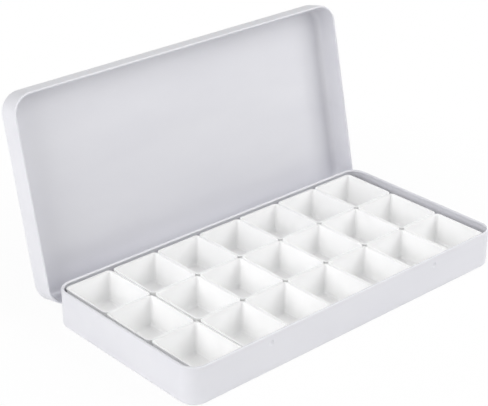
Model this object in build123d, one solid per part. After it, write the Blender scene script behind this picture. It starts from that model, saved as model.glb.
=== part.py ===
from build123d import *
import os
from math import acos, cos, degrees, radians, sin, sqrt, tan

# An empty watercolour box: a pressed tin tray, a slip-over lid on two hinges, and 21 loose half pans.
# Millimetres. X runs along the box, Y from front to back, Z up.
# The origin is the middle of the tray's underside. The lid stands open, as far back as it goes.

# The half pans
pan_rows = 3
pan_columns = 7
pan_width = 16.02
pan_length = 18.92
pan_height = 10.4
pan_wall = 0.45
pan_floor = 1.1
pan_corner = 1.4
pan_draft = 1.6
well_corner = 0.7
well_draft = 3.4
well_bend = 0.9
pan_gap = 0.18

# The room that the pans leave in the tray's mouth, in all, and how much of it is in front and on the right
row_slack = 0.45
front_gap = 0.12
column_slack = 5.15
right_gap = 2.9

# How far each pan of the first column has slid to the left and to the back, and how far it has turned,
# from the front row to the back one
first_column_left = (0.35, 0.6, 0.35)
first_column_back = (0.15, 0.12, 0.06)
first_column_turn = (0.2, -0.3, 0.2)

# The tray
tray_height = 11.8
tray_corner = 5.0
tray_bend = 1.2
tray_roll = 0.4

# The sheet that tray and lid are pressed from
sheet = 0.3

# The lid, which slips over the tray
lid_depth = 8.3
lid_bend = 2.4
lid_roll = 0.35
lid_side_clearance = 0.5
lid_rest_gap = 0.15
open_angle = 102.4

# The snap dents in both front walls
dent_reach = 0.9
dent_depth = 0.35
dent_drop = 2.7
dent_spacing = 64.6

# The hinges
hinge_sheet = 0.3
hinge_spacing = 64.0
tray_knuckle_length = 4.5
lid_knuckle_length = 6.5
knuckle_gap = 0.15
notch_gap = 0.4
leaf_margin = 0.3
leaf_corner = 0.8
pin_clearance = 0.05
pin_chamfer = 0.1
stop_gap = 0.03
weld_radius = 0.6
weld_depth = 0.08
weld_spacing = 9.0

# The tray's mouth, inside its roll, takes the rows of pans and their slack
pitch_x = pan_width + pan_gap
pitch_y = pan_length + pan_gap
mouth_length = pan_columns * pitch_x - pan_gap + column_slack
mouth_width = pan_rows * pitch_y - pan_gap + row_slack
tray_length = mouth_length + 4 * tray_roll
tray_width = mouth_width + 4 * tray_roll

# The lid's outside face stands this far out from the tray's outside face
overhang = lid_side_clearance + 2 * lid_roll
lid_length = tray_length + 2 * overhang
lid_width = tray_width + 2 * overhang
lid_corner = tray_corner + overhang

# The closed lid lies with the inside of its bend just above the tray's roll
rest_radius = lid_bend - sheet - tray_roll - lid_rest_gap
rest_inset = max(lid_bend - overhang - tray_roll, 0)
lid_top = tray_height - tray_roll + lid_bend - sqrt(rest_radius**2 - rest_inset**2)
lid_rim = lid_top - lid_depth

# A knuckle touches the tray's wall with one side and is level with the lid's leaf on the other
knuckle_radius = (overhang + hinge_sheet) / 2
bore_radius = knuckle_radius - hinge_sheet
pin_radius = bore_radius - pin_clearance
hinge_length = 2 * tray_knuckle_length + 2 * knuckle_gap + lid_knuckle_length
axis_y = tray_width / 2 + knuckle_radius

# The lid stops where the roll of its back wall comes to the tray's back wall
roll_offset = overhang - lid_roll - knuckle_radius
stop_reach = knuckle_radius - lid_roll - stop_gap + roll_offset * cos(radians(open_angle))
axis_z = lid_rim + lid_roll + stop_reach / sin(radians(open_angle))


def wall_section(height, bend, roll):
    """Section of a pressed wall: the bend at its foot, the wall, and the edge rolled inwards to a tight bead.

    X = 0 is the outside face and Y = 0 the underside.
    """
    top = height - roll
    lap = degrees(acos((roll - sheet) / roll))
    bead_foot = top - roll * sin(radians(lap))
    outline = [
        Line((-bend, sheet), (-bend, 0)),
        CenterArc((-bend, bend), bend, 270, 90),
        Line((0, bend), (0, top)),
        CenterArc((-roll, top), roll, 0, 360 - lap),
        Line((-sheet, bead_foot), (-sheet, bend)),
        CenterArc((-bend, bend), bend - sheet, 0, -90),
    ]
    return make_face(outline)


def pressed_shell(length, width, corner, height, bend, roll):
    """An open pressed shell with round corners, standing on its panel."""
    section = wall_section(height, bend, roll)
    shell = extrude(RectangleRounded(length - 2 * bend, width - 2 * bend, corner - bend), sheet)
    for side in range(4):
        reach, across = (length / 2, width / 2) if side % 2 == 0 else (width / 2, length / 2)
        run = across - corner
        start = Plane((reach, -run, 0), x_dir=(1, 0, 0), z_dir=(0, -1, 0))
        end = Plane((reach, run, 0), x_dir=(1, 0, 0), z_dir=(0, -1, 0))
        wall = extrude(start * section, amount=2 * run, dir=(0, 1, 0))
        turn = revolve(end * section, Axis((reach - corner, run, 0), (0, 0, 1)), 90)
        shell += Rot(0, 0, 90 * side) * (wall + turn)
    return shell


def press_dent(shell, x, front_y, z):
    """Press a round dent into a front wall, so that it stands out as a pip on the inside."""
    ball_radius = (dent_reach**2 + dent_depth**2) / (2 * dent_depth)
    centre = Pos(x, front_y + dent_depth - ball_radius, z)
    reach = 2 * (ball_radius + sheet)
    inside = Pos(x, front_y + sheet / 2 + reach / 2, z) * Box(reach, reach, reach)
    pip = (centre * Sphere(ball_radius + sheet)) & inside
    return shell + pip - centre * Sphere(ball_radius)


def dent_places():
    """Where the two snap dents are, along the front wall."""
    return (-dent_spacing / 2, dent_spacing / 2)


def tray():
    """The tray, standing on its floor, with two dents that the lid's pips click into."""
    shell = pressed_shell(tray_length, tray_width, tray_corner, tray_height, tray_bend, tray_roll)
    for x in dent_places():
        shell = press_dent(shell, x, -tray_width / 2, tray_height - dent_drop)
    return shell


def closed_lid():
    """The lid as it lies on the tray, notched at the back for the hinge knuckles."""
    upright = pressed_shell(lid_length, lid_width, lid_corner, lid_depth, lid_bend, lid_roll)
    lid = Pos(0, 0, lid_top) * Rot(180, 0, 0) * upright
    for x in dent_places():
        lid = press_dent(lid, x, -lid_width / 2, tray_height - dent_drop)
    notch_top = axis_z + knuckle_radius + notch_gap
    notch_height = notch_top - lid_rim + notch_gap
    notch_depth = 4 * lid_roll
    for x in hinge_places():
        middle = Pos(x, lid_width / 2, notch_top - notch_height / 2)
        lid -= middle * Box(hinge_length + 2 * notch_gap, 2 * notch_depth, notch_height)
    return lid


def hinge_places():
    """Where the middles of the two hinges are, along the back wall."""
    return (-hinge_spacing / 2, hinge_spacing / 2)


def knuckle(x, length):
    """One rolled knuckle with its bore, round the hinge axis."""
    along = Plane((x, axis_y, axis_z), z_dir=(1, 0, 0))
    ring = Circle(knuckle_radius) - Circle(bore_radius)
    return extrude(along * ring, length / 2, both=True)


def leaf_plate(x, inner_y, low, high, rounded_low):
    """The flat of a hinge leaf, with its two free corners rounded and two spot welds pressed in."""
    plate = Pos(x, inner_y + hinge_sheet / 2, (low + high) / 2) * Box(hinge_length, hinge_sheet, high - low)
    level = 0 if rounded_low else -1
    free_edges = plate.edges().filter_by(Axis.Y).group_by(Axis.Z)[level]
    plate = fillet(free_edges, leaf_corner)
    for place in (x - weld_spacing / 2, x + weld_spacing / 2):
        mark = Plane((place, inner_y + hinge_sheet, (low + high) / 2), z_dir=(0, 1, 0)) * Circle(weld_radius)
        plate -= extrude(mark, -weld_depth)
    return plate


def tray_leaf(x):
    """The leaf on the tray's back wall, with a knuckle at each end."""
    offset = (lid_knuckle_length + tray_knuckle_length) / 2 + knuckle_gap
    plate_top = axis_z - knuckle_radius - notch_gap / 2
    leaf = leaf_plate(x, tray_width / 2, tray_bend + leaf_margin, plate_top, True)
    for place in (x - offset, x + offset):
        neck_height = axis_z - plate_top
        neck_middle = Pos(place, tray_width / 2 + hinge_sheet / 2, plate_top + neck_height / 2)
        leaf += neck_middle * Box(tray_knuckle_length, hinge_sheet, neck_height)
        leaf += knuckle(place, tray_knuckle_length)
    return leaf - hinge_bore(x)


def lid_leaf(x):
    """The leaf on the closed lid's back wall, with one knuckle in the middle."""
    plate_foot = axis_z + knuckle_radius + notch_gap
    leaf = leaf_plate(x, lid_width / 2, plate_foot, lid_top - lid_bend - leaf_margin, False)
    neck_height = plate_foot - axis_z
    neck_middle = Pos(x, lid_width / 2 + hinge_sheet / 2, axis_z + neck_height / 2)
    leaf += neck_middle * Box(lid_knuckle_length, hinge_sheet, neck_height)
    leaf += knuckle(x, lid_knuckle_length)
    return leaf - hinge_bore(x)


def hinge_bore(x):
    """The bore through all knuckles of one hinge."""
    return Plane((x, axis_y, axis_z), z_dir=(1, 0, 0)) * Cylinder(bore_radius, 2 * hinge_length)


def hinge_pin(x):
    """The wire pin of one hinge."""
    pin = Plane((x, axis_y, axis_z), z_dir=(1, 0, 0)) * Cylinder(pin_radius, hinge_length)
    return chamfer(pin.edges().filter_by(GeomType.CIRCLE), pin_chamfer)


def opened(piece):
    """Swing a piece of the closed lid back to where the lid stands open."""
    return piece.rotate(Axis((0, axis_y, axis_z), (1, 0, 0)), -open_angle)


def pan_outline(inset, corner, z):
    """A pan's rounded outline at one height, this far inside its rim."""
    return Pos(0, 0, z) * RectangleRounded(pan_width - 2 * inset, pan_length - 2 * inset, corner)


def half_pan():
    """One half pan, standing on the middle of its underside, with a drafted well whose foot is rounded."""
    lean = pan_height * tan(radians(pan_draft))
    outside = loft([pan_outline(lean, pan_corner, 0), pan_outline(0, pan_corner, pan_height)], ruled=True)
    outlines = []
    for turn in (0, 45, 90):
        z = pan_floor + well_bend * (1 - cos(radians(turn)))
        lean = (pan_height - z) * tan(radians(well_draft)) + well_bend * (1 - sin(radians(turn)))
        outlines.append(pan_outline(pan_wall + lean, well_corner, z))
    outlines.append(pan_outline(pan_wall, well_corner, pan_height))
    return outside - loft(outlines, ruled=True)


def pan_place(row, column):
    """Where a pan stands on the tray's floor, counted from the front row and the left column."""
    right_x = mouth_length / 2 - right_gap - pan_width / 2
    front_y = -mouth_width / 2 + front_gap + pan_length / 2
    x = right_x - (pan_columns - 1 - column) * pitch_x
    y = front_y + row * pitch_y
    if column == 0:
        slid = Pos(x - first_column_left[row], y + first_column_back[row], sheet)
        return slid * Rot(0, 0, first_column_turn[row])
    return Pos(x, y, sheet)


os.makedirs("parts", exist_ok=True)
export_step(tray(), "parts/tray.step")
export_step(opened(closed_lid()), "parts/lid.step")
for name, x in zip(("left", "right"), hinge_places()):
    export_step(tray_leaf(x), f"parts/hinge_{name}_tray_leaf.step")
    export_step(opened(lid_leaf(x)), f"parts/hinge_{name}_lid_leaf.step")
    export_step(hinge_pin(x), f"parts/hinge_{name}_pin.step")
pan = half_pan()
for row in range(pan_rows):
    for column in range(pan_columns):
        export_step(pan_place(row, column) * pan, f"parts/pan_row{row + 1}_col{column + 1}.step")
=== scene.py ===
import math

import bpy
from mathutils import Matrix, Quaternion, Vector

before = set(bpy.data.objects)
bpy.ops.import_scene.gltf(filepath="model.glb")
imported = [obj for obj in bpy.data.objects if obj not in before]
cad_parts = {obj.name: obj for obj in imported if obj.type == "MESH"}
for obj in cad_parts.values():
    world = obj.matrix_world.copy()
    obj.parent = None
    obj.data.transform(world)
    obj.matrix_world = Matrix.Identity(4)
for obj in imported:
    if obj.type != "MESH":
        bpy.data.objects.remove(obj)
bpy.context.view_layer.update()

# Metres. X runs along the box, Y from front to back, Z up, with the origin under the middle of the tray.
MM = 0.001

# The photograph's viewpoint: above the front left corner, looking over the tray into the open lid.
# Heading, drop and roll are in degrees, and the lens and its sensor in millimetres.
CAMERA_HEADING = 42.27
CAMERA_DROP = 26.07
CAMERA_ROLL = -0.26
CAMERA_DISTANCE = 419.6 * MM
CAMERA_AIM = Vector((-4.8, 11.8, 26.1)) * MM
CAMERA_NEAR = 10 * MM
FOCAL_LENGTH = 107.15
SENSOR_WIDTH = 36.0

# Two large softboxes stand high, and two small ones low. Elevations are in degrees.
SOFTBOX_AIM = Vector((0, 0, 20)) * MM
SOFTBOX_DISTANCE = 700 * MM
LARGE_SOFTBOX = 600 * MM
SMALL_SOFTBOX = 350 * MM
HIGH_ELEVATION = 38
LOW_ELEVATION = 14

# How bright the room is for the light that falls on the box, where 1 is white
ROOM_FILL = 0.15

# Near the box the floor shows this share of plain white, and the rest of it is lit paper with its shadow.
# From the first radius to the second, that share grows to the whole.
NEAR_FLOOR_WHITE = 0.93
SHADOW_RADIUS = 70 * MM
WHITE_RADIUS = 150 * MM
FLOOR_SIZE = 6000 * MM

# Colours, as they look
ENAMEL_WHITE = "#E6E6EA"
# Painted shade: the darker enamel colour, laid along the waves of the sheet
ENAMEL_PAINTED_WAVE_SHADE = "#DADAE0"
PLASTIC_WHITE = "#FEFEFE"
PLASTIC_SHADE = "#FAFAFA"
STEEL_LIGHT = "#B9BABC"
STEEL_DARK = "#8E8F92"
FLOOR_WHITE = "#FFFFFF"


def linear(colour):
    """An sRGB hex colour as the linear RGBA that shaders take."""
    channels = [int(colour[place : place + 2], 16) / 255 for place in (1, 3, 5)]
    straight = [c / 12.92 if c <= 0.04045 else ((c + 0.055) / 1.055) ** 2.4 for c in channels]
    return (*straight, 1.0)


def add_node(owner, kind, settings=None, **links):
    """Add one node to a material or the world.

    Settings are the node's own properties, and links are what its sockets take.
    """
    node = owner.node_tree.nodes.new(kind)
    for name, value in (settings or {}).items():
        setattr(node, name, value)
    for name, value in links.items():
        socket = node.inputs[name.replace("_", " ")]
        if isinstance(value, bpy.types.NodeSocket):
            owner.node_tree.links.new(value, socket)
        else:
            socket.default_value = value
    return node


def new_material(name):
    """A node material with no nodes yet."""
    material = bpy.data.materials.new(name)
    material.use_nodes = True
    material.node_tree.nodes.clear()
    return material


def pattern_scale(size):
    """The scale of a pattern whose features are this many millimetres across."""
    return 1 / (size * MM)


def where_seen(owner):
    """1 for what is seen, straight, in a reflection or through glass, and 0 for light on matt surfaces."""
    path = add_node(owner, "ShaderNodeLightPath")
    mirrored = add_node(
        owner, "ShaderNodeMapRange", Value=path.outputs["Is Glossy Ray"], To_Min=path.outputs["Is Camera Ray"]
    )
    through = add_node(
        owner,
        "ShaderNodeMapRange",
        Value=path.outputs["Is Transmission Ray"],
        To_Min=mirrored.outputs["Result"],
    )
    return through.outputs["Result"]


def white_enamel():
    """Stoving enamel, sprayed on pressed tinplate and baked.

    A smooth semi-gloss coat, with a fine orange peel, on thin sheet that is never quite flat, so its
    reflections run in soft waves, longer along the box than across it. Along the same waves the colour
    is painted a little darker, as painted shade of the uneven sheet.
    """
    peel_size = 0.9
    peel_depth = 0.02 * MM
    wave_width = 14.0
    wave_depth = 0.8 * MM
    wave_stretch = (0.3, 1.0, 1.0)
    material = new_material("white_enamel")
    place = add_node(material, "ShaderNodeTexCoord").outputs["Object"]
    peel = add_node(
        material, "ShaderNodeTexNoise", Vector=place, Scale=pattern_scale(peel_size), Detail=2.0
    )
    stretched = add_node(material, "ShaderNodeMapping", Vector=place, Scale=wave_stretch)
    wave = add_node(
        material,
        "ShaderNodeTexNoise",
        Vector=stretched.outputs["Vector"],
        Scale=pattern_scale(wave_width),
        Detail=2.0,
    )
    # Painted shade: the colour turns darker along the same waves that bend the surface
    tone = add_node(
        material,
        "ShaderNodeMix",
        {"data_type": "RGBA"},
        Factor=wave.outputs["Fac"],
        A=linear(ENAMEL_WHITE),
        B=linear(ENAMEL_PAINTED_WAVE_SHADE),
    )
    buckled = add_node(
        material, "ShaderNodeBump", Height=wave.outputs["Fac"], Strength=0.5, Distance=wave_depth
    )
    peeled = add_node(
        material,
        "ShaderNodeBump",
        Height=peel.outputs["Fac"],
        Strength=0.12,
        Distance=peel_depth,
        Normal=buckled.outputs["Normal"],
    )
    coat = add_node(
        material,
        "ShaderNodeBsdfPrincipled",
        Base_Color=tone.outputs["Result"],
        Roughness=0.32,
        IOR=1.5,
        Normal=peeled.outputs["Normal"],
    )
    add_node(material, "ShaderNodeOutputMaterial", Surface=coat.outputs["BSDF"])
    return material


def moulded_polystyrene():
    """Polystyrene, injection moulded in a polished tool.

    Clean white with a satin gloss, and a faint unevenness where the plastic flowed and cooled. The grain
    is drawn coarser than the real one, which is too fine to show.
    """
    flow_size = 6.0
    grain_size = 0.5
    grain_depth = 0.02 * MM
    material = new_material("moulded_polystyrene")
    place = add_node(material, "ShaderNodeTexCoord").outputs["Object"]
    flow = add_node(
        material, "ShaderNodeTexNoise", Vector=place, Scale=pattern_scale(flow_size), Detail=1.0
    )
    grain = add_node(
        material, "ShaderNodeTexNoise", Vector=place, Scale=pattern_scale(grain_size), Detail=2.0
    )
    tone = add_node(
        material,
        "ShaderNodeMix",
        {"data_type": "RGBA"},
        Factor=flow.outputs["Fac"],
        A=linear(PLASTIC_WHITE),
        B=linear(PLASTIC_SHADE),
    )
    grained = add_node(
        material, "ShaderNodeBump", Height=grain.outputs["Fac"], Strength=0.1, Distance=grain_depth
    )
    plastic = add_node(
        material,
        "ShaderNodeBsdfPrincipled",
        Base_Color=tone.outputs["Result"],
        Roughness=0.38,
        IOR=1.55,
        Normal=grained.outputs["Normal"],
    )
    add_node(material, "ShaderNodeOutputMaterial", Surface=plastic.outputs["BSDF"])
    return material


def drawn_steel_wire():
    """Steel wire, drawn through a die, with lines along it and a soft metal shine.

    The lines are drawn coarser than the real ones, which are too fine to show.
    """
    line_width = 0.12
    line_depth = 0.01 * MM
    line_stretch = (0.02, 1.0, 1.0)
    material = new_material("drawn_steel_wire")
    place = add_node(material, "ShaderNodeTexCoord").outputs["Object"]
    stretched = add_node(material, "ShaderNodeMapping", Vector=place, Scale=line_stretch)
    lines = add_node(
        material,
        "ShaderNodeTexNoise",
        Vector=stretched.outputs["Vector"],
        Scale=pattern_scale(line_width),
    )
    tone = add_node(
        material,
        "ShaderNodeMix",
        {"data_type": "RGBA"},
        Factor=lines.outputs["Fac"],
        A=linear(STEEL_LIGHT),
        B=linear(STEEL_DARK),
    )
    lined = add_node(
        material, "ShaderNodeBump", Height=lines.outputs["Fac"], Strength=0.2, Distance=line_depth
    )
    steel = add_node(
        material,
        "ShaderNodeBsdfPrincipled",
        Base_Color=tone.outputs["Result"],
        Metallic=1.0,
        Roughness=0.35,
        Normal=lined.outputs["Normal"],
    )
    add_node(material, "ShaderNodeOutputMaterial", Surface=steel.outputs["BSDF"])
    return material


def studio_floor():
    """White paper. It is seen as white, with a faint shadow where it is near the box."""
    material = new_material("studio_floor")
    place = add_node(material, "ShaderNodeTexCoord").outputs["Object"]
    reach = add_node(material, "ShaderNodeVectorMath", {"operation": "LENGTH"}, Vector=place)
    white_share = add_node(
        material,
        "ShaderNodeMapRange",
        Value=reach.outputs["Value"],
        From_Min=SHADOW_RADIUS,
        From_Max=WHITE_RADIUS,
        To_Min=NEAR_FLOOR_WHITE,
        To_Max=1.0,
    )
    seen_share = add_node(
        material, "ShaderNodeMapRange", Value=where_seen(material), To_Max=white_share.outputs["Result"]
    )
    paper = add_node(material, "ShaderNodeBsdfDiffuse", Color=linear(FLOOR_WHITE))
    plain_white = add_node(material, "ShaderNodeEmission", Color=linear(FLOOR_WHITE), Strength=1.0)
    mixed = add_node(material, "ShaderNodeMixShader", Fac=seen_share.outputs["Result"])
    _, lit_surface, seen_surface = mixed.inputs
    material.node_tree.links.new(paper.outputs["BSDF"], lit_surface)
    material.node_tree.links.new(plain_white.outputs["Emission"], seen_surface)
    add_node(material, "ShaderNodeOutputMaterial", Surface=mixed.outputs["Shader"])
    return material


def dress(node, material):
    """Give a piece of the box its finish."""
    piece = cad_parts[node]
    piece.data.materials.clear()
    piece.data.materials.append(material)


def dress_box():
    """Enamel on the tray, the lid and the hinge leaves, plastic for the pans, and steel for the pins."""
    enamel = white_enamel()
    plastic = moulded_polystyrene()
    wire = drawn_steel_wire()
    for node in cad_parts:
        if node.startswith("pan_"):
            dress(node, plastic)
        elif node.endswith("_pin"):
            dress(node, wire)
        else:
            dress(node, enamel)


def make_camera():
    """The camera, at the photograph's viewpoint."""
    heading, drop = math.radians(CAMERA_HEADING), math.radians(CAMERA_DROP)
    forward = Vector(
        (math.sin(heading) * math.cos(drop), math.cos(heading) * math.cos(drop), -math.sin(drop))
    )
    data = bpy.data.cameras.new("camera")
    data.lens = FOCAL_LENGTH
    data.sensor_width = SENSOR_WIDTH
    data.clip_start = CAMERA_NEAR
    camera = bpy.data.objects.new("camera", data)
    bpy.context.collection.objects.link(camera)
    camera.location = CAMERA_AIM - forward * CAMERA_DISTANCE
    camera.rotation_mode = "QUATERNION"
    level = forward.to_track_quat("-Z", "Y")
    camera.rotation_quaternion = Quaternion(forward, math.radians(CAMERA_ROLL)) @ level
    bpy.context.scene.camera = camera


def make_softbox(name, azimuth, elevation, size, watts):
    """A square softbox that faces the box. Azimuth 0 is in front, and 90 is on the right."""
    data = bpy.data.lights.new(name, "AREA")
    data.shape = "SQUARE"
    data.size = size
    data.energy = watts
    light = bpy.data.objects.new(name, data)
    bpy.context.collection.objects.link(light)
    turn, rise = math.radians(azimuth), math.radians(elevation)
    back = Vector((math.sin(turn) * math.cos(rise), -math.cos(turn) * math.cos(rise), math.sin(rise)))
    light.location = SOFTBOX_AIM + back * SOFTBOX_DISTANCE
    light.rotation_mode = "QUATERNION"
    light.rotation_quaternion = (-back).to_track_quat("-Z", "Y")


def make_world():
    """A plain room: white where it is seen, also in reflections, and dimmer where it lights the box."""
    world = bpy.data.worlds.new("studio")
    bpy.context.scene.world = world
    world.use_nodes = True
    world.node_tree.nodes.clear()
    strength = add_node(world, "ShaderNodeMapRange", Value=where_seen(world), To_Min=ROOM_FILL)
    room = add_node(world, "ShaderNodeBackground", Strength=strength.outputs["Result"])
    add_node(world, "ShaderNodeOutputWorld", Surface=room.outputs["Background"])


def make_floor():
    """The flat floor that the box stands on, which isn't part of it."""
    bpy.ops.mesh.primitive_plane_add(size=FLOOR_SIZE)
    floor = bpy.context.object
    floor.name = "floor"
    floor.data.materials.append(studio_floor())


dress_box()
make_camera()
make_world()
make_floor()
make_softbox("left_softbox", -98, HIGH_ELEVATION, LARGE_SOFTBOX, watts=2.7)
make_softbox("low_left_softbox", -72, LOW_ELEVATION, SMALL_SOFTBOX, watts=1.2)
make_softbox("front_right_softbox", 40, HIGH_ELEVATION, LARGE_SOFTBOX, watts=3.6)
make_softbox("low_right_softbox", 105, LOW_ELEVATION, SMALL_SOFTBOX, watts=1.6)
bpy.context.scene.view_settings.view_transform = "Standard"
